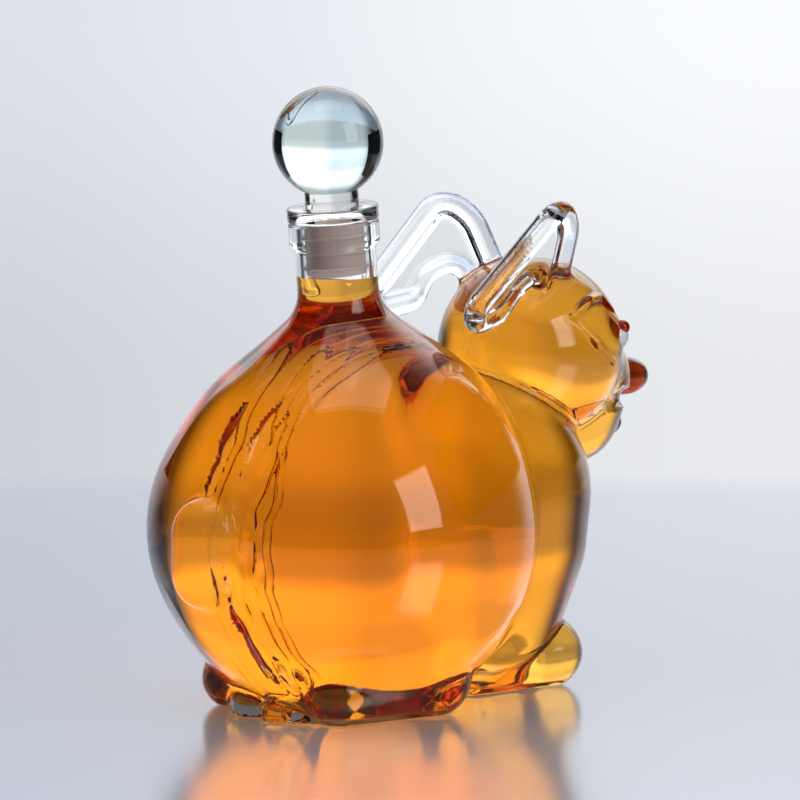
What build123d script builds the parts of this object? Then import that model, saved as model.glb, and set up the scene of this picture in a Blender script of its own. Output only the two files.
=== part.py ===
from build123d import *
import os
from math import asin, cos, radians, sin

os.makedirs("parts", exist_ok=True)

# A glass decanter in the shape of a sitting rabbit, with its neck on the rump and a ball stopper.
# Millimetres, +Z up. The rabbit looks along +X, and its body is alike on both sides of the XZ plane.
# The origin lies on the plane that the feet rest on, near the middle of the rump.

# Walls of the blown glass
wall = 2.5
floor_wall = 3.2

# Rump: a ball, with a smaller ball on each side for the haunch, which stands out of it
rump_radius = 61.5
rump_x = 2.0
rump_z = 57.0
haunch_radius = 50.8
haunch_back = 6.7
haunch_stand = 1.6

# Shoulder: a throat that flares out of the neck, a straight slope and a round end inside the rump
flare_radius = 13.0
flare_rise = 4.0
shoulder_slope = 40.0
shoulder_run = 26.0
shoulder_radius = 45.0

# Neck: its axis leans back, and its heights count along that axis from the foot
neck_lean = 5.2
neck_x = -1.0
neck_rise = 12.5
neck_radius = 13.0
neck_top = 26.0
lip_stand = 1.5
lip_height = 8.5
lip_chamfer = 1.2
lip_round = 0.6

# Chest: three balls above one another, which make an egg that stands in front of the rump
chest_fore = 53.0
chest_radii = (34.0, 39.3, 40.5)
chest_heights = (36.0, 52.0, 64.5)

# Feet: two balls and the cone that joins them, sunk a little so that they rest on flats
foot_sink = 1.2
hind_heel_radius = 10.0
hind_heel_x = -24.0
hind_heel_y = 25.5
hind_toe_radius = 13.0
hind_toe_x = 11.0
hind_toe_y = 30.0
paw_heel_radius = 8.5
paw_heel_x = 45.0
paw_heel_y = 12.0
paw_toe_radius = 12.0
paw_toe_x = 76.5
paw_toe_y = 15.0

# Bridge: the low roll of glass from each hind heel to the middle of the back
bridge_start_radius = 7.0
bridge_start_x = -31.0
bridge_start_y = 7.0
bridge_start_z = 1.6
bridge_end_radius = 8.0
bridge_end_x = -20.0
bridge_end_y = 24.0
bridge_end_z = 8.0

# Head: the muzzle and the jaw are placed from the cranium, and the cranium from the chest and the rump's top
cranium_radius = 30.5
cranium_fore = 28.4
cranium_drop = 9.5
muzzle_radius = 17.0
muzzle_fore = 22.6
muzzle_drop = 11.0
jaw_radius = 17.5
jaw_fore = 16.6
jaw_drop = 22.0

# Mounds round the eyes: each is turned to the side and up from the cranium's centre, and sunk in the cranium
eye_mound_radius = 9.0
eye_mound_sink = 6.9
eye_mound_turn = 62.7
eye_mound_up_turn = 12.2

# Beads laid on the face
eye_radius = 4.2
eye_sink = 2.6
eye_turn = 56.0
iris_radius = 2.5
iris_stand = 2.6
iris_up_turn = 20.0
nose_reach = 9.5
nose_radius = 6.3
nose_stand = 4.0
nose_drop = 1.5
lip_bead_radius = 4.5
lip_bead_stand = 2.0
lip_bead_drop = 5.0

# Tail: a solid gather, taller than it is wide, sunk in the rump's back
tail_radius = 12.5
tail_sink = 4.5
tail_drop = 8.0
tail_rise = 4.0

# Ears: each is a flat leaf, with a rod of glass for its rim and a thin web inside it.
# The leaf's plane runs back and out by its turn, and its top leans out.
# Both are formed by hand, so the two differ a little.
left_ear_turn = 26.0
left_ear_lean = 28.5
right_ear_turn = 14.0
right_ear_lean = 22.7
ear_fore = 2.1
ear_out = 18.0
ear_rise = 5.0
ear_rim_radius = 3.5
ear_web = 2.2
ear_root_depth = 20.0
ear_root_width = 12.0
ear_shoulder_back = 6.8
ear_shoulder_up = 6.8
ear_peak_back = 17.0
ear_peak_up = 16.5
ear_tip_back = 55.9
ear_tip_down = 27.8
ear_belly_back = 31.0
ear_belly_down = 22.2
ear_waist_back = 25.5
ear_waist_down = 12.9
ear_stalk_back = 14.0
ear_stalk_down = 8.0
ear_shoulder_bend = 14.0
ear_peak_bend = 8.0
ear_tip_bend = 5.0
ear_belly_bend = 8.0
ear_waist_bend = 10.0
ear_stalk_bend = 5.0

# Stopper: a glass ball, a clear cap with a stem and a shank, and a ribbed sleeve on the shank
ball_radius = 17.7
stem_radius = 8.6
stem_length = 5.0
disc_radius = 14.6
disc_thickness = 4.2
disc_chamfer = 0.4
shank_length = 15.0
shank_fit = 0.05
sleeve_gap = 2.1
sleeve_wall = 2.4
sleeve_floor = 2.3
sleeve_chamfer = 0.8
fin_count = 3
fin_first = 4.8
fin_pitch = 5.0
fin_thickness = 1.1
fin_clearance = 0.06

# Places and sizes that follow from those above
both_sides = (1, -1)
rump_back = rump_x - max(rump_radius, haunch_back + haunch_radius)
rump_top = rump_z + rump_radius
haunch_out = rump_radius + haunch_stand - haunch_radius
neck_foot_z = rump_top + neck_rise
bore_radius = neck_radius - wall
lip_radius = neck_radius + lip_stand
sleeve_radius = bore_radius - sleeve_gap
sleeve_length = shank_length + sleeve_floor
shank_radius = sleeve_radius - sleeve_wall
chest_x = rump_x + chest_fore
cranium_x = chest_x + cranium_fore
cranium_z = rump_top - cranium_drop
muzzle_x = cranium_x + muzzle_fore
muzzle_z = cranium_z - muzzle_drop
jaw_x = cranium_x + jaw_fore
jaw_z = cranium_z - jaw_drop
eye_stand = eye_mound_radius - eye_sink
nose_x = muzzle_x + muzzle_radius + nose_stand
nose_z = muzzle_z - nose_drop
lip_bead_x = jaw_x + jaw_radius + lip_bead_stand
lip_bead_z = jaw_z - lip_bead_drop
ear_z = cranium_z + cranium_radius + ear_rise


# Planes and axes

def along_neck(height):
    """A plane square to the neck's axis, at this height along it."""
    lean = radians(neck_lean)
    centre = (neck_x - height * sin(lean), 0, neck_foot_z + height * cos(lean))
    return Plane(origin=centre, x_dir=(cos(lean), 0, sin(lean)), z_dir=(-sin(lean), 0, cos(lean)))


def neck_section():
    """The plane through the neck's axis, for profiles whose X is a radius and whose Y is a height."""
    base = along_neck(0)
    return Plane(origin=base.origin, x_dir=base.x_dir, z_dir=-base.y_dir)


def neck_axis():
    base = along_neck(0)
    return Axis(base.origin, base.z_dir)


def ear_plane(side, turn, lean):
    """The plane of an ear's leaf: X runs back and out, Y runs up and out."""
    back = Vector(-cos(turn), side * sin(turn), 0)
    out = Vector(sin(turn), side * cos(turn), 0)
    up = Vector(0, 0, cos(lean)) + out * sin(lean)
    return Plane(origin=(cranium_x + ear_fore, side * ear_out, ear_z), x_dir=back, z_dir=back.cross(up))


def sideways(side, turn, up_turn):
    """The direction from +X that is turned to the side and then up, in degrees."""
    turn, up_turn = radians(turn), radians(up_turn)
    return Vector(cos(turn) * cos(up_turn), side * sin(turn) * cos(up_turn), sin(up_turn))


def eye_mound_centre(side):
    out = sideways(side, eye_mound_turn, eye_mound_up_turn)
    return Vector(cranium_x, 0, cranium_z) + out * (cranium_radius - eye_mound_sink)


# Blown forms. Each adds to the part being built, and depth is how far it lies inside the outer skin.

def ball(centre, radius):
    with Locations(centre):
        Sphere(radius)


def run_of_balls(balls):
    """Balls whose centres lie on a line, and the cones that touch each ball and the next."""
    centres = [Vector(*centre) for centre, radius in balls]
    radii = [radius for centre, radius in balls]
    along = Plane(origin=centres[0], z_dir=centres[-1] - centres[0])
    section = Plane(origin=centres[0], x_dir=along.x_dir, z_dir=-along.y_dir)
    heights = [(centre - centres[0]).length for centre in centres]
    falls = [
        asin((radii[i] - radii[i + 1]) / (heights[i + 1] - heights[i]))
        for i in range(len(balls) - 1)]

    def on_ball(i, angle):
        return (radii[i] * cos(angle), heights[i] + radii[i] * sin(angle))

    angles = [-radians(90)] + falls + [radians(90)]
    with BuildSketch(section) as outline:
        with BuildLine():
            for i in range(len(balls)):
                middle = (angles[i] + angles[i + 1]) / 2
                ThreePointArc(on_ball(i, angles[i]), on_ball(i, middle), on_ball(i, angles[i + 1]))
                if i:
                    Line(on_ball(i - 1, angles[i]), on_ball(i, angles[i]))
            Line(on_ball(-1, angles[-1]), on_ball(0, angles[0]))
        make_face()
    revolve(outline.sketch, axis=Axis(centres[0], along.z_dir))


def shoulder(depth):
    """The turned shoulder up to the foot of the neck's tube."""
    slope = radians(shoulder_slope)
    flare = flare_radius + depth
    end = shoulder_radius - depth
    hub = Vector(neck_radius + flare_radius, flare_rise)
    out, down = Vector(cos(slope), -sin(slope)), Vector(-sin(slope), -cos(slope))
    foot = hub + down * flare
    knee = foot + out * shoulder_run
    centre = knee + down * end
    with BuildSketch(neck_section()) as outline:
        with BuildLine():
            Line((0, flare_rise), (hub.X - flare, flare_rise))
            TangentArc((hub.X - flare, flare_rise), foot, tangent=(0, -1))
            Line(foot, knee)
            TangentArc(knee, centre + Vector(end, 0), tangent=out)
            Line(centre + Vector(end, 0), (0, centre.Y))
            Line((0, centre.Y), (0, flare_rise))
        make_face()
    revolve(outline.sketch, axis=neck_axis())


def body_form(depth):
    """Rump, haunches, shoulder, chest and feet, down to the depth of the floor."""
    ball((rump_x, 0, rump_z), rump_radius - depth)
    shoulder(depth)
    run_of_balls([((chest_x, 0, height), radius - depth) for radius, height in zip(chest_radii, chest_heights)])
    for side in both_sides:
        ball((rump_x - haunch_back, side * haunch_out, rump_z), haunch_radius - depth)
        run_of_balls((
            ((hind_heel_x, side * hind_heel_y, hind_heel_radius - foot_sink), hind_heel_radius - depth),
            ((hind_toe_x, side * hind_toe_y, hind_toe_radius - foot_sink), hind_toe_radius - depth)))
        run_of_balls((
            ((bridge_start_x, side * bridge_start_y, bridge_start_z), bridge_start_radius - depth),
            ((bridge_end_x, side * bridge_end_y, bridge_end_z), bridge_end_radius - depth)))
        run_of_balls((
            ((paw_heel_x, side * paw_heel_y, paw_heel_radius - foot_sink), paw_heel_radius - depth),
            ((paw_toe_x, side * paw_toe_y, paw_toe_radius - foot_sink), paw_toe_radius - depth)))


def head_form(depth):
    """Cranium, muzzle, jaw and the mounds round the eyes."""
    ball((cranium_x, 0, cranium_z), cranium_radius - depth)
    ball((muzzle_x, 0, muzzle_z), muzzle_radius - depth)
    ball((jaw_x, 0, jaw_z), jaw_radius - depth)
    for side in both_sides:
        ball(eye_mound_centre(side), eye_mound_radius - depth)


# The skins and the hollows that the glass pieces are cut from

with BuildPart() as body_skin:
    body_form(0)
    split(bisect_by=Plane.XY, keep=Keep.TOP)

with BuildPart() as body_hollow:
    body_form(wall)
    split(bisect_by=Plane.XY.offset(floor_wall), keep=Keep.TOP)

with BuildPart() as head_skin:
    head_form(0)

with BuildPart() as head_hollow:
    head_form(wall)


# Bottle

with BuildPart() as body_bulb:
    add(body_skin.part)
    add(body_hollow.part, mode=Mode.SUBTRACT)
    add(head_hollow.part, mode=Mode.SUBTRACT)
body_bulb.part.label = "body_bulb"
export_step(body_bulb.part, "parts/body_bulb.step")

with BuildPart() as head_bulb:
    add(head_skin.part)
    add(head_hollow.part, mode=Mode.SUBTRACT)
    add(body_skin.part, mode=Mode.SUBTRACT)
head_bulb.part.label = "head_bulb"
export_step(head_bulb.part, "parts/head_bulb.step")

with BuildPart() as neck_finish:
    with BuildSketch(neck_section()):
        with BuildLine():
            Polyline(
                (bore_radius, flare_rise),
                (neck_radius, flare_rise),
                (neck_radius, neck_top - lip_height),
                (lip_radius - lip_chamfer, neck_top - lip_height),
                (lip_radius, neck_top - lip_height + lip_chamfer),
                (lip_radius, neck_top - lip_round),
                (lip_radius - lip_round, neck_top),
                (bore_radius, neck_top),
                close=True)
        make_face()
    revolve(axis=neck_axis())
neck_finish.part.label = "neck_finish"
export_step(neck_finish.part, "parts/neck_finish.step")

with BuildPart() as tail:
    run_of_balls((
        ((rump_back + tail_sink, 0, rump_z - tail_drop), tail_radius),
        ((rump_back + tail_sink, 0, rump_z + tail_rise), tail_radius)))
    add(body_skin.part, mode=Mode.SUBTRACT)
tail.part.label = "tail"
export_step(tail.part, "parts/tail.step")


# Ears

def make_ear(leaf):
    """The rim's rod follows straight runs and arcs in the leaf's plane, and the web fills the rim."""
    corners = (
        (0, -ear_root_depth),
        (ear_shoulder_back, ear_shoulder_up),
        (ear_peak_back, ear_peak_up),
        (ear_tip_back, -ear_tip_down),
        (ear_belly_back, -ear_belly_down),
        (ear_waist_back, -ear_waist_down),
        (ear_stalk_back, -ear_stalk_down),
        (ear_root_width, -ear_root_depth))
    bends = (ear_shoulder_bend, ear_peak_bend, ear_tip_bend, ear_belly_bend, ear_waist_bend, ear_stalk_bend)
    with BuildPart() as ear:
        with BuildLine(leaf) as rim:
            FilletPolyline(*corners, radius=bends)
        with BuildSketch(Plane(origin=rim.line @ 0, z_dir=rim.line % 0)):
            Circle(ear_rim_radius)
        sweep(path=rim.line)
        with BuildSketch(leaf):
            with BuildLine():
                FilletPolyline(*corners, radius=bends)
                Line(corners[-1], corners[0])
            make_face()
        extrude(amount=ear_web / 2, both=True)
        add(head_skin.part, mode=Mode.SUBTRACT)
    return ear.part


left_ear = make_ear(ear_plane(1, radians(left_ear_turn), radians(left_ear_lean)))
left_ear.label = "left_ear"
export_step(left_ear, "parts/left_ear.step")

right_ear = make_ear(ear_plane(-1, radians(right_ear_turn), radians(right_ear_lean)))
right_ear.label = "right_ear"
export_step(right_ear, "parts/right_ear.step")


# Beads on the face

def eye_plane(side, stand, up_turn):
    """A plane that faces out of the eye mound's centre, turned to the side and up, this far out."""
    out = sideways(side, eye_turn, up_turn)
    return Plane(origin=eye_mound_centre(side) + out * stand, z_dir=out)


for side, name in ((1, "left"), (-1, "right")):
    with BuildPart() as eye_ball:
        with Locations(eye_plane(side, eye_stand, 0)):
            Sphere(eye_radius)
    with BuildPart() as eye_white:
        add(eye_ball.part)
        add(head_skin.part, mode=Mode.SUBTRACT)
    eye_white.part.label = f"{name}_eye_white"
    export_step(eye_white.part, f"parts/{name}_eye_white.step")

    with BuildPart() as iris:
        with Locations(eye_plane(side, eye_stand + iris_stand, iris_up_turn)):
            Sphere(iris_radius)
        add(eye_ball.part, mode=Mode.SUBTRACT)
        add(head_skin.part, mode=Mode.SUBTRACT)
    iris.part.label = f"{name}_iris"
    export_step(iris.part, f"parts/{name}_iris.step")

with BuildPart() as nose:
    with BuildSketch(Plane(origin=(nose_x, 0, nose_z))):
        with BuildLine():
            EllipticalCenterArc((0, 0), nose_reach, nose_radius, 0, arc_size=180)
            Line((-nose_reach, 0), (nose_reach, 0))
        make_face()
    revolve(axis=Axis((nose_x, 0, nose_z), (1, 0, 0)))
    add(head_skin.part, mode=Mode.SUBTRACT)
nose.part.label = "nose"
export_step(nose.part, "parts/nose.step")

with BuildPart() as lip_bead:
    ball((lip_bead_x, 0, lip_bead_z), lip_bead_radius)
    add(head_skin.part, mode=Mode.SUBTRACT)
lip_bead.part.label = "lip_bead"
export_step(lip_bead.part, "parts/lip_bead.step")


# Stopper

disc_top = neck_top + disc_thickness
stem_top = disc_top + stem_length
ball_flat = (ball_radius ** 2 - stem_radius ** 2) ** 0.5

with BuildPart() as stopper_ball:
    with BuildSketch(neck_section()):
        with BuildLine():
            Line((0, stem_top), (stem_radius, stem_top))
            ThreePointArc(
                (stem_radius, stem_top),
                (ball_radius, stem_top + ball_flat),
                (0, stem_top + ball_flat + ball_radius))
            Line((0, stem_top + ball_flat + ball_radius), (0, stem_top))
        make_face()
    revolve(axis=neck_axis())
stopper_ball.part.label = "stopper_ball"
export_step(stopper_ball.part, "parts/stopper_ball.step")

with BuildPart() as stopper_cap:
    with BuildSketch(neck_section()):
        with BuildLine():
            Polyline(
                (0, stem_top),
                (stem_radius, stem_top),
                (stem_radius, disc_top),
                (disc_radius - disc_chamfer, disc_top),
                (disc_radius, disc_top - disc_chamfer),
                (disc_radius, neck_top + disc_chamfer),
                (disc_radius - disc_chamfer, neck_top),
                (shank_radius, neck_top),
                (shank_radius, neck_top - shank_length),
                (0, neck_top - shank_length),
                close=True)
        make_face()
    revolve(axis=neck_axis())
stopper_cap.part.label = "stopper_cap"
export_step(stopper_cap.part, "parts/stopper_cap.step")

with BuildPart() as stopper_sleeve:
    with BuildSketch(along_neck(neck_top - sleeve_length)):
        Circle(sleeve_radius)
    extrude(amount=sleeve_length)
    chamfer(stopper_sleeve.edges().sort_by(neck_axis())[0], length=sleeve_chamfer)
    for fin in range(fin_count):
        with BuildSketch(along_neck(neck_top - fin_first - fin * fin_pitch - fin_thickness / 2)):
            Circle(bore_radius - fin_clearance)
        extrude(amount=fin_thickness)
    with BuildSketch(along_neck(neck_top)):
        Circle(shank_radius + shank_fit)
    extrude(amount=-shank_length, mode=Mode.SUBTRACT)
stopper_sleeve.part.label = "stopper_sleeve"
export_step(stopper_sleeve.part, "parts/stopper_sleeve.step")
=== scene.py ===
"""Dresses the glass rabbit decanter: blown glass, the liquor in it, its stopper, and the table and light."""

import math

import bmesh
import bpy
import numpy as np
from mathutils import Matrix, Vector


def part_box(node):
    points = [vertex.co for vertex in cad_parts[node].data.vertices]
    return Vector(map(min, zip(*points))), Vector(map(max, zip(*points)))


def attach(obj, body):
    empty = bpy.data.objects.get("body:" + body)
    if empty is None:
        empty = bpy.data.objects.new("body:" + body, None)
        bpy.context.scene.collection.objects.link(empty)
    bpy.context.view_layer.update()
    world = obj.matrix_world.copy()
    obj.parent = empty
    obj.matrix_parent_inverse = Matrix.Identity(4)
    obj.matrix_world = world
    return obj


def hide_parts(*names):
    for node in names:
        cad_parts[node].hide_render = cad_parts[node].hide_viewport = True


bl_info = {
    "name": "Rabbit decanter",
    "version": (1, 0, 0),
    "blender": (4, 5, 0),
    "location": "3D View > Sidebar > Decanter",
    "description": "Blows, fills and stops the rabbit decanter, and sets it on a lit table",
    "category": "Object",
}

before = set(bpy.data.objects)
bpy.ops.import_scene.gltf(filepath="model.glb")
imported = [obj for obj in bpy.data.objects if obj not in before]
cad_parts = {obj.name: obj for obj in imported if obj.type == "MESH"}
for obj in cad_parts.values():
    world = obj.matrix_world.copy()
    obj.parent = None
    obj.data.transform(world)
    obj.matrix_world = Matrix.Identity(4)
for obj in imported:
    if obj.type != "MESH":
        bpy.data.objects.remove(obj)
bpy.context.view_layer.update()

# Lengths of the forms are in millimetres, as a glassblower would give them, and MM turns them to metres.
MM = 0.001

# Walls of the blown glass: in general, at least where forms run together, and under the rump
WALL = 2.5
LEAST_WALL = 2.1
FLOOR_WALL = 3.2

# Rump and haunches
RUMP = (2.0, 0.0, 57.0)
RUMP_RADIUS = 61.5
HAUNCH_BACK = 6.7
HAUNCH_OUT = 12.3
HAUNCH_RADIUS = 50.8

# Shoulder and neck: heights count along the leaning axis from the foot of the neck
NECK_LEAN = math.radians(5.2)
NECK_FOOT = (-1.0, 0.0, 131.0)
NECK_RADIUS = 13.0
NECK_TOP = 26.0
FLARE_RADIUS = 13.0
FLARE_RISE = 4.0
SLOPE = math.radians(40.0)
SLOPE_RUN = 26.0
SHOULDER_RADIUS = 45.0
LIP_RADIUS = 14.5
LIP_HEIGHT = 8.5
LIP_ROUND = 1.3

# Chest: three balls above one another
CHEST_X = 55.0
CHEST_BALLS = ((36.0, 34.0), (52.0, 39.3), (64.5, 40.5))

# Feet: the start and end of each roll of glass, with its two radii. Y is for the left side.
FOOT_SINK = 1.2
ROLLS = (
    ((-24.0, 25.5, 10.0 - FOOT_SINK), 10.0, (11.0, 30.0, 13.0 - FOOT_SINK), 13.0),
    ((-31.0, 7.0, 1.6), 7.0, (-20.0, 24.0, 8.0), 8.0),
    ((45.0, 12.0, 8.5 - FOOT_SINK), 8.5, (76.5, 15.0, 12.0 - FOOT_SINK), 12.0),
)

# Folds that were pinched in beside the tail and above it: y, reach from the rump's middle, radius,
# and the heights over which each starts and ends
FOLDS = (
    (-13.5, 59.8, 3.0, (10.0, 22.0), (90.0, 106.0)),
    (-17.8, 58.6, 3.6, (8.0, 22.0), (84.0, 104.0)),
    (-22.2, 57.4, 3.0, (6.0, 20.0), (72.0, 94.0)),
    (-1.0, 61.0, 2.6, (66.0, 76.0), (88.0, 108.0)),
)

# How a fold wavers as it goes up: how far, and the height that one radian of the wave takes
FOLD_SWAY = (1.0, 11.0)
FOLD_WOBBLE = (0.5, 3.1)
FOLD_SWELL = (0.3, 4.3)
FOLD_NICKS = (0.25, 1.7)

# Head
CRANIUM = (83.4, 0.0, 109.0)
CRANIUM_RADIUS = 30.5
MUZZLE = (106.0, 0.0, 98.0)
MUZZLE_RADIUS = 17.0
JAW = (100.0, 0.0, 87.0)
JAW_RADIUS = 17.5
EYE_MOUND = (94.0, 20.5, 114.0)
EYE_MOUND_RADIUS = 9.0

# Mouth: a crease pressed in round the muzzle, from near the lip to its corner. The pairs are degrees from the
# front over which it starts, leaves the muzzle for the cheek, and ends.
MOUTH_HEIGHT = 91.5
MOUTH_WAVE = (0.6, 9.0)
MOUTH_REACH = 16.8
MOUTH_SPREAD = 4.5
MOUTH_RADIUS = 3.3
MOUTH_FRONT = (8.0, 22.0)
MOUTH_CHEEK = (70.0, 115.0)
MOUTH_CORNER = (102.0, 118.0)

# Lids: thin ridges over and under the eye, as points out from the cranium's middle with a radius each
UPPER_LID = ((-6.2, 26.1, 13.0, 1.5), (1.6, 26.1, 17.6, 1.9), (8.9, 22.8, 17.8, 1.9), (13.9, 23.4, 13.2, 1.4))
LOWER_LID = ((-6.2, 26.1, 13.0, 1.5), (0.8, 30.0, 4.1, 1.9), (9.5, 28.6, -2.9, 1.4))

# Tail
TAIL_LOW = (-55.0, 0.0, 49.0)
TAIL_HIGH = (-55.0, 0.0, 61.0)
TAIL_RADIUS = 12.5

# Ears: a flat leaf each, in a plane that runs back and out by the splay and leans out by the tilt. Its
# corners are places back and up in it. Past the tip the rim thins, over so many points of the outline.
EAR_ROOT = (85.5, 18.0, 144.5)
EAR_SPLAY = {1: math.radians(26.0), -1: math.radians(14.0)}
EAR_TILT = {1: math.radians(28.5), -1: math.radians(22.7)}
EAR_RIM = 3.5
EAR_LOWER_RIM = 2.4
EAR_WEB = 2.2
EAR_CORNERS = (
    (0.0, -20.0), (6.8, 6.8), (17.0, 16.5), (55.9, -27.8),
    (31.0, -22.2), (25.5, -12.9), (14.0, -8.0), (12.0, -20.0),
)
EAR_BENDS = (14.0, 8.0, 5.0, 8.0, 10.0, 5.0)
EAR_THINNING = 12

# Stopper
BALL_RADIUS = 17.7
STEM_RADIUS = 8.6
STEM_LENGTH = 5.0
DISC_RADIUS = 14.6
DISC_THICKNESS = 4.2
SHANK_RADIUS = 6.0
SHANK_LENGTH = 15.0
SHANK_FIT = 0.05
SLEEVE_RADIUS = 9.5
SLEEVE_LENGTH = 17.3
FIN_FIRST = 4.8
FIN_PITCH = 5.0
FIN_COUNT = 3
FIN_THICKNESS = 1.1
FIN_CLEARANCE = 0.06
EDGE_ROUND = 0.5

# Points on the arcs of the stopper's profiles
BALL_POINTS = 64
EDGE_POINTS = 5
FIN_POINTS = 7

# How softly forms run together where the molten glass was joined, and how many times softer in the hollow
SOFT_SHOULDER = 10.0
SOFT_HAUNCH = 2.5
SOFT_FOLD = 1.2
SOFT_CHEST = 4.0
SOFT_FOOT = 4.0
SOFT_FACE = 8.0
SOFT_BROW = 4.0
SOFT_RIDGE = 1.0
SOFT_THROAT = 6.0
SOFT_TAIL = 2.0
SOFT_EAR = 4.0
SOFT_EDGE = 1.2
ROOM_SOFTER = 2.0

# How far the liquor reaches into the glass, so that no air lies between them, and how far its mesh goes on
# above the level before it is cut there
WETTING = 0.12
LEVEL_SPARE = 4.0

# How often the points of a blown skin are moved on to its form, and the least slope that a move reckons with
SETTLING_MOVES = 2
LEAST_SLOPE = 0.05

# Nodes that the blown skin stands for
GLASS_NODES = ("body_bulb", "head_bulb", "neck_finish", "tail", "left_ear", "right_ear")

# Width of the swirls in the opaque beads, and how far light spreads inside the soft plug
SWIRL_WIDTH = 2.0 * MM
PLUG_SPREAD = 4.0 * MM

# How strongly each coloured glass colours light, per metre, and what it leaves of the lamps' light behind it
BALL_GLASS = (12.0, (0.7, 0.8, 0.8))
LIP_BEAD_GLASS = (60.0, (0.6, 0.7, 0.7))
NOSE_GLASS = (450.0, (0.5, 0.2, 0.05))

# Camera: how far it looks past the origin and down, its frame in millimetres, and its nearest view in metres
YAW = math.radians(-0.595)
PITCH = math.radians(6.924)
SENSOR_WIDTH = 36.0
NEAREST_SEEN = 0.05

# How often light goes through or off what it meets
BOUNCES = 32
GLOSSY_BOUNCES = 8

# Table, softboxes and the two dark flags beside the stopper, in metres. Places are ahead of the origin as the
# camera looks, right of it and above it. Each flag has its side, 1 for right, and how far back it reaches.
TABLE_SIZE = 2.4
TABLE_BEHIND = 0.56
TABLE_FADING = 0.08
AIM = (0.0, 0.0, 0.055)
KEY_PLACE = (-0.75, 0.95, 0.65)
KEY_SIZE = (0.62, 0.85)
TOP_PLACE = (-0.05, 0.0, 1.2)
TOP_SIZE = (0.75, 0.5)
FLAG_OUT = 0.28
FLAG_NEAR = -0.1
FLAG_FOOT = 0.10
FLAG_TOP = 0.42
FLAGS = (("right_flag", 1, 0.31), ("left_flag", -1, 0.42))

# Screen behind the table: each pair is the two angles, in degrees, between which a soft edge runs. They count
# to the left of the camera's way of looking, or up from level. The left half starts at the middle, and the
# backdrop turns back to the right half's colour on its way round behind the camera.
SCREEN_RIGHT = (-54.0, -36.0)
SCREEN_LEFT = (26.0, 44.0)
SCREEN_MIDDLE = (-4.5, 4.5)
SCREEN_ROUND = (90.0, 170.0)
SCREEN_TOP = (32.0, 48.0)
OVERHEAD_SHARE = 0.35
DIM_FOOT = (-7.0, -3.0)
DIM_TOP = (5.0, 11.0)
DIM_SHARE = 0.85
GLOW_FOOT = (11.0, 20.0)
THROUGH_GLASS = (-3.0, 3.0)
THROUGH_GLASS_SHARE = 0.6


def linear(hex_colour):
    """An sRGB hex colour as the linear numbers that shaders take."""
    parts = [int(hex_colour[i:i + 2], 16) / 255 for i in (1, 3, 5)]
    return [c / 12.92 if c <= 0.04045 else ((c + 0.055) / 1.055) ** 2.4 for c in parts]


def colour(name, description, hex_colour):
    """A colour that the user may change, with an sRGB hex default."""
    return bpy.props.FloatVectorProperty(
        name=name, description=description, subtype="COLOR", size=3, min=0, max=1, default=linear(hex_colour))


class GlassSettings(bpy.types.PropertyGroup):
    """Sizes and colours of the bottle."""

    grain: bpy.props.FloatProperty(
        name="Grain", description="Width of the faces of the blown skin", default=1.2 * MM, unit="LENGTH")
    level: bpy.props.FloatProperty(
        name="Level", description="Height of the liquor above the foot of the neck", default=7.6 * MM,
        unit="LENGTH")
    tint: colour("Glass", "Colour of the clear glass where it is thick", "#fdfefe")
    liquor: colour("Liquor", "Colour that the liquor lets through", "#fce145")
    liquor_face: colour("Liquor's Face", "Colour that the liquor has however shallow it is", "#ffc45a")
    strength: bpy.props.FloatProperty(
        name="Strength", description="How strongly the liquor colours the light, per metre", default=32.0)
    nose: colour("Nose", "Colour that the dark amber bead lets through", "#e2a027")
    eye_white: colour("Eye White", "Colour of the white bead", "#f1f1ee")
    iris: colour("Iris", "Colour of the red bead", "#a8150c")


class StopperSettings(bpy.types.PropertyGroup):
    """Colours of the stopper."""

    smoke: colour("Ball", "Colour that the smoke-grey glass lets through", "#4bb1a2")
    plug: colour("Plug", "Colour of the soft ribbed plug", "#f6e2da")
    segments: bpy.props.IntProperty(
        name="Segments", description="Faces round a turned piece", default=128, min=16)


class StageSettings(bpy.types.PropertyGroup):
    """Camera, table and light."""

    distance: bpy.props.FloatProperty(
        name="Distance", description="Level distance from the origin to the camera", default=1.8,
        unit="LENGTH")
    turn: bpy.props.FloatProperty(
        name="Turn", description="The camera's way of looking, from +X", default=math.radians(48.0),
        unit="ROTATION")
    drop: bpy.props.FloatProperty(
        name="Drop", description="How far below level the origin lies", default=math.radians(10.0),
        unit="ROTATION")
    lens: bpy.props.FloatProperty(
        name="Lens", description="Focal length on a 36 mm frame, in millimetres", default=256.0)
    table: colour("Table", "Colour of the lacquered table", "#d0d6e2")
    screen: colour("Screen", "Colour of the lit screen", "#fafcff")
    screen_left: colour("Screen's Left", "Colour of the screen's left half, which is less lit", "#dbe0e9")
    room: colour("Room", "Colour of the dark room beside the screen", "#33393d")
    air: colour("Fill's Colour", "Colour of the room's light on dull things", "#eef1f8")
    key: bpy.props.FloatProperty(
        name="Key", description="Watts of the softbox beside the camera", default=4.5)
    top: bpy.props.FloatProperty(name="Top", description="Watts of the softbox overhead", default=1.2)
    fill: bpy.props.FloatProperty(
        name="Fill", description="Strength of the room's light on dull things", default=0.8)
    glow: bpy.props.FloatProperty(
        name="Glow", description="Strength of the screen above the view", default=2.5)


# Forms, each given as how far the points p lie outside it. All take points as rows of three numbers.

def ball(p, centre, radius):
    """A ball of this centre and radius."""
    return np.linalg.norm(p - np.array(centre), axis=1) - radius


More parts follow.
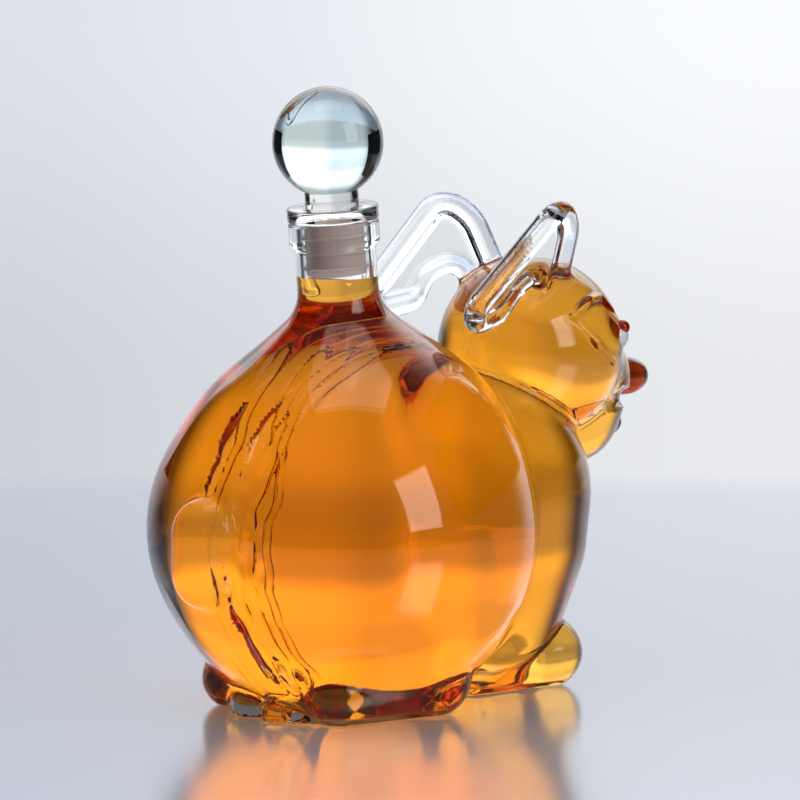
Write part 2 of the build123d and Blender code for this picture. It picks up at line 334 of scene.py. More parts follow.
def roll(p, start, start_radius, end, end_radius):
    """Two balls and the cone that touches both."""
    along = np.array(end) - np.array(start)
    length2 = along @ along
    drop = start_radius - end_radius
    slant2 = length2 - drop * drop
    from_start = p - np.array(start)
    y = from_start @ along
    z = y - length2
    x2 = ((from_start * length2 - y[:, None] * along) ** 2).sum(1)
    y2 = y * y * length2
    z2 = z * z * length2
    k = np.sign(drop) * drop * drop * x2
    side = (np.sqrt(x2 * slant2 / length2) + y * drop) / length2 - start_radius
    at_end = np.sqrt(x2 + z2) / length2 - end_radius
    at_start = np.sqrt(x2 + y2) / length2 - start_radius
    before = np.where(np.sign(y) * slant2 * y2 < k, at_start, side)
    return np.where(np.sign(z) * slant2 * z2 > k, at_end, before)


def melt(a, b, soft):
    """Two forms run together."""
    h = np.maximum(soft - np.abs(a - b), 0) / soft
    return np.minimum(a, b) - h ** 3 * soft / 6


def trim(a, b, soft):
    """What two forms have in common, with a rounded edge."""
    return -melt(-a, -b, soft)


def mirrored(place, side):
    """A place on the left side, or for side -1 the same place on the right."""
    return (place[0], side * place[1], place[2])


def along_neck(p):
    """Radius from the neck's leaning axis, and height along it."""
    axis = np.array((-math.sin(NECK_LEAN), 0, math.cos(NECK_LEAN)))
    q = p - np.array(NECK_FOOT)
    height = q @ axis
    return np.linalg.norm(q - height[:, None] * axis, axis=1), height


def shoulder(r, h, depth):
    """The throat that flares out of the neck, its slope, and the round end inside the rump."""
    flare, end = FLARE_RADIUS + depth, SHOULDER_RADIUS - depth
    hub = np.array((NECK_RADIUS + FLARE_RADIUS, FLARE_RISE))
    out = np.array((math.cos(SLOPE), -math.sin(SLOPE)))
    up = np.array((math.sin(SLOPE), math.cos(SLOPE)))
    foot = hub - up * flare
    centre = foot + out * SLOPE_RUN - up * end
    reach = (r - foot[0]) * out[0] + (h - foot[1]) * out[1]
    on_flare = flare - np.hypot(r - hub[0], h - hub[1])
    on_slope = (r - foot[0]) * up[0] + (h - foot[1]) * up[1]
    on_end = np.hypot(r - centre[0], h - centre[1]) - end
    below = np.where(reach < 0, on_flare, np.where(reach < SLOPE_RUN, on_slope, on_end))
    return np.where(h > FLARE_RISE, r - (NECK_RADIUS - depth), below)


def lip(r, h):
    """The ring round the mouth."""
    half = LIP_HEIGHT / 2
    across = np.stack((r - LIP_RADIUS, np.abs(h - NECK_TOP + half) - half), 1) + LIP_ROUND
    outside = np.linalg.norm(np.maximum(across, 0), axis=1)
    return outside + np.minimum(across.max(1), 0) - LIP_ROUND


def smooth_step(x, start, end):
    """0 up to the start and 1 from the end on, with a soft rise between them."""
    share = np.clip((x - start) / (end - start), 0, 1)
    return share * share * (3 - 2 * share)


def wave(along, size, length, start=0.0):
    """A wave that is this high and takes this length for one radian."""
    return size * np.sin(along / length + start)


def fold(p, depth, out, reach, radius, foot, head):
    """A wavering fold down the rump's back, grown by the depth."""
    height = p[:, 2]
    sway = wave(height, *FOLD_SWAY) + wave(height, *FOLD_WOBBLE, out)
    swell = wave(height, *FOLD_SWELL, out) + wave(height, *FOLD_NICKS, out)
    pressed = smooth_step(height, *foot) * (1 - smooth_step(height, *head)) * (p[:, 0] < RUMP[0])
    from_arc = np.hypot(p[:, 0] - RUMP[0], height - RUMP[2]) - reach
    to_middle = np.hypot(from_arc, p[:, 1] - out + sway)
    return to_middle - (radius + swell) * pressed - depth


def mouth(p, depth):
    """The crease of the mouth on each cheek, grown by the depth."""
    ahead, side = p[:, 0] - MUZZLE[0], np.abs(p[:, 1])
    turn = np.degrees(np.arctan2(side, ahead))
    cut = smooth_step(turn, *MOUTH_FRONT) * (1 - smooth_step(turn, *MOUTH_CORNER))
    height = p[:, 2] - MOUTH_HEIGHT - wave(turn, *MOUTH_WAVE)
    reach = MOUTH_REACH + MOUTH_SPREAD * smooth_step(turn, *MOUTH_CHEEK)
    return np.hypot(np.hypot(ahead, side) - reach, height) - MOUTH_RADIUS * cut - depth


def lid(p, side, lid_points):
    """A ridge that thickens and thins along its points."""
    places = [(np.array(mirrored(point[:3], side)) + CRANIUM, point[3]) for point in lid_points]
    rolls = [roll(p, *one, *two) for one, two in zip(places, places[1:])]
    return np.min(rolls, 0)


def body(p, depth, soften):
    """Rump, haunches, shoulder, chest, feet and head, shrunk by the depth."""
    r, h = along_neck(p)
    form = melt(ball(p, RUMP, RUMP_RADIUS - depth), shoulder(r, h, depth), SOFT_SHOULDER)
    for side in (1, -1):
        haunch = (RUMP[0] - HAUNCH_BACK, side * HAUNCH_OUT, RUMP[2])
        form = melt(form, ball(p, haunch, HAUNCH_RADIUS - depth), SOFT_HAUNCH * soften)
    for sizes in FOLDS:
        form = trim(form, -fold(p, depth, *sizes), SOFT_FOLD)
    chest = np.minimum(*(
        roll(p, (CHEST_X, 0, low), low_radius - depth, (CHEST_X, 0, high), high_radius - depth)
        for (low, low_radius), (high, high_radius) in zip(CHEST_BALLS, CHEST_BALLS[1:])))
    form = melt(form, chest, SOFT_CHEST * soften)
    for start, start_radius, end, end_radius in ROLLS:
        for side in (1, -1):
            ends = mirrored(start, side), mirrored(end, side)
            foot = roll(p, ends[0], start_radius - depth, ends[1], end_radius - depth)
            form = melt(form, foot, SOFT_FOOT * soften)
    head = melt(ball(p, CRANIUM, CRANIUM_RADIUS - depth), ball(p, MUZZLE, MUZZLE_RADIUS - depth), SOFT_FACE)
    head = melt(head, ball(p, JAW, JAW_RADIUS - depth), SOFT_FACE)
    for side in (1, -1):
        head = melt(head, ball(p, mirrored(EYE_MOUND, side), EYE_MOUND_RADIUS - depth), SOFT_BROW)
        for lid_points in (UPPER_LID, LOWER_LID):
            head = melt(head, lid(p, side, lid_points) + depth, SOFT_RIDGE)
    head = trim(head, -mouth(p, depth), SOFT_FOLD)
    return melt(form, head, SOFT_THROAT * soften)


def rounded_corners(corners, bends, steps=7):
    """The points of a run of straight lines whose corners are arcs of these radii."""
    corners = np.array(corners)
    points = [corners[0]]
    for before, corner, after, bend in zip(corners, corners[1:], corners[2:], bends):
        back = (before - corner) / np.linalg.norm(before - corner)
        on = (after - corner) / np.linalg.norm(after - corner)
        half = math.acos(np.clip(back @ on, -1, 1)) / 2
        middle = (back + on) / np.linalg.norm(back + on)
        centre = corner + middle * bend / math.sin(half)
        start = corner + back * bend / math.tan(half) - centre
        turn = (math.pi - 2 * half) * np.sign(back[1] * on[0] - back[0] * on[1])
        for angle in np.linspace(0, turn, steps):
            spin = np.array(((math.cos(angle), -math.sin(angle)), (math.sin(angle), math.cos(angle))))
            points.append(centre + spin @ start)
    points.append(corners[-1])
    return np.array(points)


EAR_OUTLINE = rounded_corners(EAR_CORNERS, EAR_BENDS)


def ear(p, side):
    """A rod of glass round the leaf's rim, and the thin web inside it."""
    splay, tilt = EAR_SPLAY[side], EAR_TILT[side]
    back = np.array((-math.cos(splay), side * math.sin(splay), 0))
    up = np.array((
        math.sin(splay) * math.sin(tilt), side * math.cos(splay) * math.sin(tilt), math.cos(tilt)))
    q = p - np.array(mirrored(EAR_ROOT, side))
    leaf = np.stack((q @ back, q @ up), 1)
    across = q @ np.cross(back, up)
    middle = EAR_OUTLINE.mean(0)
    size = np.linalg.norm(EAR_OUTLINE - middle, axis=1).max() + EAR_RIM
    form = np.hypot(np.linalg.norm(leaf - middle, axis=1), across) - size
    near = form < SOFT_EAR * 2
    leaf, across = leaf[near], across[near]
    to_rim = np.full(len(leaf), np.inf)
    rim = np.full(len(leaf), np.inf)
    inside = np.zeros(len(leaf), bool)
    tip = EAR_OUTLINE[:, 0].argmax()
    for i, (a, b) in enumerate(zip(EAR_OUTLINE, np.roll(EAR_OUTLINE, -1, 0))):
        ab = b - a
        share = np.clip(((leaf - a) @ ab) / (ab @ ab), 0, 1)
        to_edge = np.linalg.norm(leaf - a - share[:, None] * ab, axis=1)
        to_rim = np.minimum(to_rim, to_edge)
        thinned = smooth_step(i - tip, 0, EAR_THINNING) * (EAR_RIM - EAR_LOWER_RIM)
        rim = np.minimum(rim, np.hypot(to_edge, across) - EAR_RIM + thinned)
        if ab[1]:
            crosses = (a[1] > leaf[:, 1]) != (b[1] > leaf[:, 1])
            inside ^= crosses & (leaf[:, 0] < a[0] + (leaf[:, 1] - a[1]) * ab[0] / ab[1])
    web = np.maximum(np.where(inside, -to_rim, to_rim), np.abs(across) - EAR_WEB / 2)
    form[near] = melt(rim, web, SOFT_EAR)
    return form


def room(p, outside):
    """The hollow that holds the liquor, open at the mouth. Outside has the values of the body round it."""
    r, h = along_neck(p)
    hollow = melt(body(p, WALL, ROOM_SOFTER), np.maximum(r - (NECK_RADIUS - WALL), -h), SOFT_EDGE)
    hollow = trim(hollow, FLOOR_WALL - p[:, 2], SOFT_EDGE)
    return trim(hollow, np.where(h > FLARE_RISE, hollow, outside + LEAST_WALL), SOFT_EDGE)


def skin(p):
    """The whole of the bottle's glass."""
    r, h = along_neck(p)
    outside = body(p, 0, 1)
    tail = roll(p, TAIL_LOW, TAIL_RADIUS, TAIL_HIGH, TAIL_RADIUS)
    form = melt(outside, tail, SOFT_TAIL)
    for side in (1, -1):
        form = melt(form, ear(p, side), SOFT_EAR)
    form = melt(form, lip(r, h), SOFT_EDGE)
    form = trim(form, -p[:, 2], SOFT_EDGE)
    form = trim(form, h - NECK_TOP, SOFT_EDGE)
    return trim(form, -room(p, outside), SOFT_EDGE)


# Meshes

def slopes(form, p, here, reach=0.02):
    """How steeply a form changes along X, Y and Z from each point, where its values are those of here."""
    return np.stack([(form(p + step) - here) / reach for step in np.eye(3) * reach], 1)


def sampled(form, low, counts, step, block=12):
    """A form's values on a grid. Blocks that the surface can't reach get their middle's value."""
    values = np.empty(counts)
    reach = block * step * math.sqrt(3) / 2 + SOFT_SHOULDER / 2
    starts = [range(0, n, block) for n in counts]
    for i in starts[0]:
        for j in starts[1]:
            for k in starts[2]:
                sizes = [min(block, n - at) for n, at in zip(counts, (i, j, k))]
                part = np.s_[i:i + sizes[0], j:j + sizes[1], k:k + sizes[2]]
                middle = low + step * (np.array((i, j, k)) + block / 2)
                value = form(middle[None])[0]
                if abs(value) > reach:
                    values[part] = value
                    continue
                grid = np.indices(sizes).reshape(3, -1).T + (i, j, k)
                values[part] = form(low + step * grid).reshape(sizes)
    return values


def blown(name, form, low, high, step):
    """A closed mesh object of the surface of a form, in metres, with the form's own normals."""
    step *= 1
    low, high = np.array(low) - 2 * step, np.array(high) + 2 * step
    counts = np.ceil((high - low) / step).astype(int) + 1

    # The cells of the grid that the surface runs through get one point each, at the middle of its crossings
    values = sampled(form, low, counts, step)
    inside = values < 0
    corners = [np.array(c) for c in np.ndindex(2, 2, 2)]

    def shifted(grid, corner):
        return grid[tuple(slice(c, n - 1 + c) for c, n in zip(corner, counts))]

    filled = sum(shifted(inside, c).astype(np.int8) for c in corners)
    cells = np.argwhere((filled > 0) & (filled < 8))
    number = np.full(counts - 1, -1)
    number[tuple(cells.T)] = np.arange(len(cells))
    points, crossings = np.zeros((len(cells), 3)), np.zeros(len(cells))
    for a in corners:
        for axis in range(3):
            if a[axis]:
                continue
            b = a + np.eye(3, dtype=int)[axis]
            at_a, at_b = values[tuple((cells + a).T)], values[tuple((cells + b).T)]
            cuts = (at_a < 0) != (at_b < 0)
            share = np.where(cuts, at_a / np.where(cuts, at_a - at_b, 1), 0)
            points += np.where(cuts[:, None], a + share[:, None] * (b - a), 0)
            crossings += cuts
    points = low + step * (cells + points / crossings[:, None])

    # Each edge of the grid that the surface crosses gets a face between the four cells round it
    quads = []
    for axis in range(3):
        one, two = np.roll(np.eye(3, dtype=int), -axis - 1, 0)[:2]
        start = np.take(inside, range(counts[axis] - 1), axis)
        end = np.take(inside, range(1, counts[axis]), axis)
        edges = np.argwhere(start != end)
        ring = np.stack([number[tuple((edges - shift).T)] for shift in (0 * one, one, one + two, two)], 1)
        flip = end[tuple(edges.T)]
        ring[flip] = ring[flip][:, ::-1]
        quads.append(ring)
    quads = np.concatenate(quads)

    # The points move on to the surface, each a third of a cell at most at a time
    for _ in range(SETTLING_MOVES):
        here = form(points)
        slope = slopes(form, points, here)
        move = slope * (here / (slope ** 2).sum(1).clip(LEAST_SLOPE))[:, None]
        length = np.linalg.norm(move, axis=1).clip(1e-9)
        points -= move * (np.minimum(length, step / 3) / length)[:, None]
    normals = slopes(form, points, form(points))
    normals /= np.linalg.norm(normals, axis=1)[:, None]
    return solid(name, points * MM, quads, normals)


def solid(name, points, quads, normals):
    """A smooth mesh object from points, faces of four, and a normal for each point."""
    mesh = bpy.data.meshes.new(name)
    mesh.vertices.add(len(points))
    mesh.vertices.foreach_set("co", np.asarray(points, np.float32).ravel())
    mesh.loops.add(quads.size)
    mesh.loops.foreach_set("vertex_index", quads.ravel().astype(np.int32))
    mesh.polygons.add(len(quads))
    mesh.polygons.foreach_set("loop_start", np.arange(0, quads.size, 4, dtype=np.int32))
    mesh.update(calc_edges=True)
    mesh.validate()
    mesh.polygons.foreach_set("use_smooth", np.ones(len(mesh.polygons), bool))
    mesh.normals_split_custom_set_from_vertices(normals.tolist())
    return linked(bpy.data.objects.new(name, mesh))


def linked(thing):
    """Puts an object in the scene."""
    bpy.context.scene.collection.objects.link(thing)
    return thing


def neck_point(r, h, angle):
    """A point at this radius, height and turn about the neck's axis, in metres."""
    lean_out = Vector((math.cos(NECK_LEAN), 0, math.sin(NECK_LEAN)))
    lean_up = Vector((-math.sin(NECK_LEAN), 0, math.cos(NECK_LEAN)))
    flat = lean_out * math.cos(angle) * r + Vector((0, math.sin(angle), 0)) * r
    return (Vector(NECK_FOOT) + flat + lean_up * h) * MM


def turned(name, profile, segments):
    """A profile of (radius, height) points turned about the neck's axis, on which it starts and ends."""
    shape = bmesh.new()
    rings = []
    for r, h in profile:
        if r == 0:
            rings.append([shape.verts.new(neck_point(0, h, 0))])
        else:
            angles = [2 * math.pi * i / segments for i in range(segments)]
            rings.append([shape.verts.new(neck_point(r, h, angle)) for angle in angles])
    for one, two in zip(rings, rings[1:]):
        for i in range(segments):
            corners = [ring[at % len(ring)] for ring, at in ((one, i), (one, i + 1), (two, i + 1), (two, i))]
            face = list(dict.fromkeys(corners))
            if len(face) > 2:
                shape.faces.new(face)
    bmesh.ops.recalc_face_normals(shape, faces=shape.faces)
    for face in shape.faces:
        face.smooth = True
    mesh = bpy.data.meshes.new(name)
    shape.to_mesh(mesh)
    shape.free()
    return linked(bpy.data.objects.new(name, mesh))


def arc(centre, radius, start, end, steps):
    """Points (radius, height) along an arc, from one angle to another in degrees."""
    angles = np.radians(np.linspace(start, end, steps))
    return [(centre[0] + radius * math.cos(a), centre[1] + radius * math.sin(a)) for a in angles]


def crisp(thing, angle=30.0):
    """Edges sharper than the angle stay sharp."""
    thing.data.set_sharp_from_angle(angle=math.radians(angle))


# Materials

def node(tree, kind, settings=None, links=None):
    """Adds a node, sets its values and sockets, and links sockets that other nodes feed."""
    made = tree.nodes.new(kind)
    for key, value in (settings or {}).items():
        if isinstance(key, int) or key in made.inputs:
            made.inputs[key].default_value = value
        else:
            setattr(made, key, value)
    for key, source in (links or {}).items():
        tree.links.new(source, made.inputs[key])
    return made


def material(name):
    """A new material and its node tree, with only an output in it."""
    made = bpy.data.materials.new(name)
    made.use_nodes = True
    tree = made.node_tree
    tree.nodes.clear()
    return made, tree, tree.nodes.new("ShaderNodeOutputMaterial")


def see_through(tree, output, shader, shade):
    """Lamps shine through the shader in this colour, so that what lies behind is lit as behind real glass."""
    path = node(tree, "ShaderNodeLightPath")
    clear = node(tree, "ShaderNodeBsdfTransparent", {"Color": (*shade, 1)})
    mix = node(tree, "ShaderNodeMixShader", links={"Fac": path.outputs["Is Shadow Ray"]})
    tree.links.new(shader.outputs[0], mix.inputs[1])
    tree.links.new(clear.outputs[0], mix.inputs[2])
    tree.links.new(mix.outputs[0], output.inputs["Surface"])


def lampworked_borosilicate(tint):
    """Clear borosilicate, blown and fire polished: a liquid gloss with no texture."""
    made, tree, output = material("lampworked_borosilicate")
    shader = node(tree, "ShaderNodeBsdfPrincipled", {
        "Base Color": (*tint, 1), "Roughness": 0.0, "IOR": 1.42, "Transmission Weight": 1.0})
    see_through(tree, output, shader, shade=(0.96, 0.96, 0.96))
    return made


def aged_liquor(face, tint, strength):
    """Amber spirit: yellow where it is shallow and burnt orange where it is deep, with no pale edge."""
    made, tree, output = material("aged_liquor")
    shader = node(tree, "ShaderNodeBsdfPrincipled", {
        "Base Color": (*face, 1), "Roughness": 0.0, "IOR": 1.36, "Transmission Weight": 1.0})
    see_through(tree, output, shader, shade=(1, 1, 1))
    depth = node(tree, "ShaderNodeVolumeAbsorption", {"Color": (*tint, 1), "Density": strength})
    tree.links.new(depth.outputs[0], output.inputs["Volume"])
    return made


def tinted_glass(name, tint, strength, shade):
    """Solid coloured glass, polished: its colour deepens with the way through it."""
    made, tree, output = material(name)
    shader = node(tree, "ShaderNodeBsdfPrincipled", {
        "Base Color": (1, 1, 1, 1), "Roughness": 0.0, "IOR": 1.5, "Transmission Weight": 1.0})
    see_through(tree, output, shader, shade)
    depth = node(tree, "ShaderNodeVolumeAbsorption", {"Color": (*tint, 1), "Density": strength})
    tree.links.new(depth.outputs[0], output.inputs["Volume"])
    return made


def opaque_bead(name, tint):
    """Opaque soda glass melted to a bead: wet gloss over a dense colour with faint swirls from the rod."""
    made, tree, output = material(name)
    place = node(tree, "ShaderNodeTexCoord")
    swirl = node(tree, "ShaderNodeTexNoise", {"Scale": 1 / SWIRL_WIDTH, "Detail": 2.0, "Distortion": 1.5},
                 {"Vector": place.outputs["Object"]})
    blend = node(tree, "ShaderNodeMapRange", {"To Min": 0.85, "To Max": 1.1}, {"Value": swirl.outputs["Fac"]})
    shaded = node(tree, "ShaderNodeVectorMath", {"operation": "SCALE", 0: tint}, {"Scale": blend.outputs[0]})
    shader = node(tree, "ShaderNodeBsdfPrincipled", {"Roughness": 0.08, "IOR": 1.5, "Coat Weight": 0.5},
                  {"Base Color": shaded.outputs[0]})
    tree.links.new(shader.outputs[0], output.inputs["Surface"])
    return made


def moulded_acrylic():
    """Clear acrylic, injection moulded: bright edges with a faint draw of the mould."""
    made, tree, output = material("moulded_acrylic")
    shader = node(tree, "ShaderNodeBsdfPrincipled", {
        "Base Color": (*linear("#fbfbf8"), 1), "Roughness": 0.03, "IOR": 1.49, "Transmission Weight": 1.0})
    see_through(tree, output, shader, shade=(0.9, 0.9, 0.9))
    return made


def soft_elastomer(tint):
    """Translucent thermoplastic elastomer, moulded: milky, with light spread under a satin skin."""
    made, tree, output = material("soft_elastomer")
    shader = node(tree, "ShaderNodeBsdfPrincipled", {
        "Base Color": (*tint, 1), "Roughness": 0.35, "IOR": 1.45, "Transmission Weight": 0.55,
        "Subsurface Weight": 0.6, "Subsurface Scale": PLUG_SPREAD})
    tree.links.new(shader.outputs[0], output.inputs["Surface"])
    return made


def dress(thing, made, body_name, slot, *nodes):
    """Gives a piece its material and its body, and hides the nodes that it stands for. The slot is not used.
    """
    thing.data.materials.clear()
    thing.data.materials.append(made)
    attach(thing, body_name)
    if nodes:
        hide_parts(*nodes)


def glass_box():
    """The corners of the box that holds the bottle's glass, in millimetres."""
    lows, highs = zip(*(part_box(name) for name in GLASS_NODES))
    return np.min(lows, 0) / MM, np.max(highs, 0) / MM


class DECANTER_OT_blow_bottle(bpy.types.Operator):
    """Blow the bottle: body, head, neck, tail and ears in one skin of clear glass"""

    bl_idname = "decanter.blow_bottle"
    bl_label = "Blow Bottle"

    def execute(self, context):
        given = context.scene.decanter_glass
        low, high = glass_box()
        glass = blown("blown_rabbit", skin, low, high, given.grain / MM)
        dress(glass, lampworked_borosilicate(given.tint), "bottle", "bottle_glass", *GLASS_NODES)
        return {"FINISHED"}


class DECANTER_OT_pour_liquor(bpy.types.Operator):
    """Fill the bottle with liquor up to its level in the neck"""

    bl_idname = "decanter.pour_liquor"
    bl_label = "Pour Liquor"

    def execute(self, context):
        given = context.scene.decanter_glass
        low, high = glass_box()
        top = NECK_FOOT[2] + given.level / MM
        spare = top + LEVEL_SPARE

        def wet_room(p):
            return np.maximum(room(p, body(p, 0, 1)) - WETTING, p[:, 2] - spare)

        liquor = blown("liquor", wet_room, low, (high[0], high[1], spare), given.grain / MM)
        shape = bmesh.new()
        shape.from_mesh(liquor.data)
        everything = shape.verts[:] + shape.edges[:] + shape.faces[:]
        cut = bmesh.ops.bisect_plane(
            shape, geom=everything, plane_co=(0, 0, top * MM), plane_no=(0, 0, 1), clear_outer=True)
        rim = [e for e in cut["geom_cut"] if isinstance(e, bmesh.types.BMEdge)]
        for face in bmesh.ops.edgeloop_fill(shape, edges=rim)["faces"]:
            face.smooth = False
        shape.to_mesh(liquor.data)
        shape.free()
        dress(liquor, aged_liquor(given.liquor_face, given.liquor, given.strength), "bottle", "bottle_glass")
        return {"FINISHED"}


class DECANTER_OT_set_beads(bpy.types.Operator):
    """Give the eyes, the nose and the lip bead on the face their glass"""

    bl_idname = "decanter.set_beads"
    bl_label = "Set Beads"

    def execute(self, context):
        given = context.scene.decanter_glass
        white = opaque_bead("opaque_white_bead", given.eye_white)
        red = opaque_bead("opaque_red_bead", given.iris)
        amber = tinted_glass("dark_amber_bead", given.nose, *NOSE_GLASS)
        smoke = tinted_glass("smoke_bead", context.scene.decanter_stopper.smoke, *LIP_BEAD_GLASS)
        for name, made in (
                ("left_eye_white", white), ("right_eye_white", white),
                ("left_iris", red), ("right_iris", red),
                ("nose", amber), ("lip_bead", smoke)):
            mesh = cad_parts[name].data
            mesh.materials.clear()
            mesh.materials.append(made)
        return {"FINISHED"}


class DECANTER_OT_turn_stopper(bpy.types.Operator):
    """Make the stopper: ball, cap with its shank, and ribbed plug"""

    bl_idname = "decanter.turn_stopper"
    bl_label = "Turn Stopper"

    def execute(self, context):
        given = context.scene.decanter_stopper
        disc_top = NECK_TOP + DISC_THICKNESS
        stem_top = disc_top + STEM_LENGTH
        rise = math.sqrt(BALL_RADIUS ** 2 - STEM_RADIUS ** 2)
        start = -math.degrees(math.atan2(rise, STEM_RADIUS))
        profile = [(0, stem_top)] + arc((0, stem_top + rise), BALL_RADIUS, start, 90, BALL_POINTS)[:-1]
        profile += [(0, stem_top + rise + BALL_RADIUS)]
        glass_ball = turned("ball_knob", profile, given.segments)
        crisp(glass_ball)
        smoke = tinted_glass("smoke_glass", given.smoke, *BALL_GLASS)
        dress(glass_ball, smoke, "stopper", "smoke_glass", "stopper_ball")

        shank_foot = NECK_TOP - SHANK_LENGTH
        rim = DISC_RADIUS - EDGE_ROUND
        profile = [(0, stem_top), (STEM_RADIUS, stem_top), (STEM_RADIUS, disc_top)]
        profile += arc((rim, disc_top - EDGE_ROUND), EDGE_ROUND, 90, 0, EDGE_POINTS)
        profile += arc((rim, NECK_TOP + EDGE_ROUND), EDGE_ROUND, 0, -90, EDGE_POINTS)
        profile += [(SHANK_RADIUS, NECK_TOP), (SHANK_RADIUS, shank_foot), (0, shank_foot)]
        cap = turned("clear_cap", profile, given.segments)
        crisp(cap)
        dress(cap, moulded_acrylic(), "stopper", "clear_plastic", "stopper_cap")

        bore = NECK_RADIUS - WALL
        foot = NECK_TOP - SLEEVE_LENGTH
        half = FIN_THICKNESS / 2
        corner = (SLEEVE_RADIUS - EDGE_ROUND, foot + EDGE_ROUND)
        profile = [(0, foot)] + arc(corner, EDGE_ROUND, -90, 0, EDGE_POINTS)
        for fin in reversed(range(FIN_COUNT)):
            height = NECK_TOP - FIN_FIRST - fin * FIN_PITCH
            profile += [(SLEEVE_RADIUS, height - half)]
            profile += arc((bore - FIN_CLEARANCE - half, height), half, -90, 90, FIN_POINTS)
            profile += [(SLEEVE_RADIUS, height + half)]
        inner = SHANK_RADIUS + SHANK_FIT
        profile += [(SLEEVE_RADIUS, NECK_TOP), (inner, NECK_TOP), (inner, shank_foot), (0, shank_foot)]
        plug = turned("ribbed_plug", profile, given.segments)
        crisp(plug)
        dress(plug, soft_elastomer(given.plug), "stopper", "soft_plastic", "stopper_sleeve")
        return {"FINISHED"}


def plate(name, width, depth):
    """A flat rectangle round the origin."""
    shape = bmesh.new()
    bmesh.ops.create_grid(shape, x_segments=1, y_segments=1, size=0.5)
    bmesh.ops.scale(shape, vec=(width, depth, 1), verts=shape.verts)
    mesh = bpy.data.meshes.new(name)
    shape.to_mesh(mesh)
    shape.free()
    return linked(bpy.data.objects.new(name, mesh))


def softbox(name, place, size, watts):
    """A white rectangular lamp at a place, turned to the bottle."""
    lamp = bpy.data.lights.new(name, "AREA")
    lamp.shape = "RECTANGLE"
    lamp.size, lamp.size_y = size
    lamp.energy = watts
    thing = linked(bpy.data.objects.new(name, lamp))
    thing.location = place
    thing.rotation_euler = (Vector(AIM) - place).to_track_quat("-Z", "Y").to_euler()


def lacquered_table(tint, far_edge, fading):
    """Pale silvered board under clear lacquer: it shows the bottle upside down, sharpest at its foot.

    Its far edge fades out over the given length, as a sheet does that is curved up into the screen.
    """
    made, tree, output = material("lacquered_table")
    shader = node(tree, "ShaderNodeBsdfPrincipled", {
        "Base Color": (*tint, 1), "Metallic": 0.5, "Roughness": 0.15, "IOR": 1.5})
    place = node(tree, "ShaderNodeTexCoord")
    ahead = node(tree, "ShaderNodeSeparateXYZ", links={"Vector": place.outputs["Object"]}).outputs[0]
    gone = ramp(tree, ahead, far_edge - fading, far_edge)
    clear = node(tree, "ShaderNodeBsdfTransparent")
    mix = node(tree, "ShaderNodeMixShader", links={"Fac": gone})
    tree.links.new(shader.outputs[0], mix.inputs[1])
    tree.links.new(clear.outputs[0], mix.inputs[2])
    tree.links.new(mix.outputs[0], output.inputs["Surface"])
    return made


def black_felt():
    """Black felt on the flags: no gloss and almost no light, for dark rims on the clear glass."""
    made, tree, output = material("black_felt")
    shader = node(tree, "ShaderNodeBsdfPrincipled", {
        "Base Color": (*linear("#101418"), 1), "Roughness": 1.0, "Specular IOR Level": 0.0})
    tree.links.new(shader.outputs[0], output.inputs["Surface"])
    return made


def ramp(tree, source, start, end, low=0.0, high=1.0):
    """A smooth step from low to high as the source goes from start to end."""
    return node(tree, "ShaderNodeMapRange", {
        "interpolation_type": "SMOOTHSTEP", "From Min": start, "From Max": end,
        "To Min": low, "To Max": high}, {"Value": source}).outputs[0]


def reckoned(tree, operation, one, two):
    """Two values reckoned together, such as MULTIPLY or MAXIMUM."""
    return node(tree, "ShaderNodeMath", {"operation": operation}, {0: one, 1: two}).outputs[0]


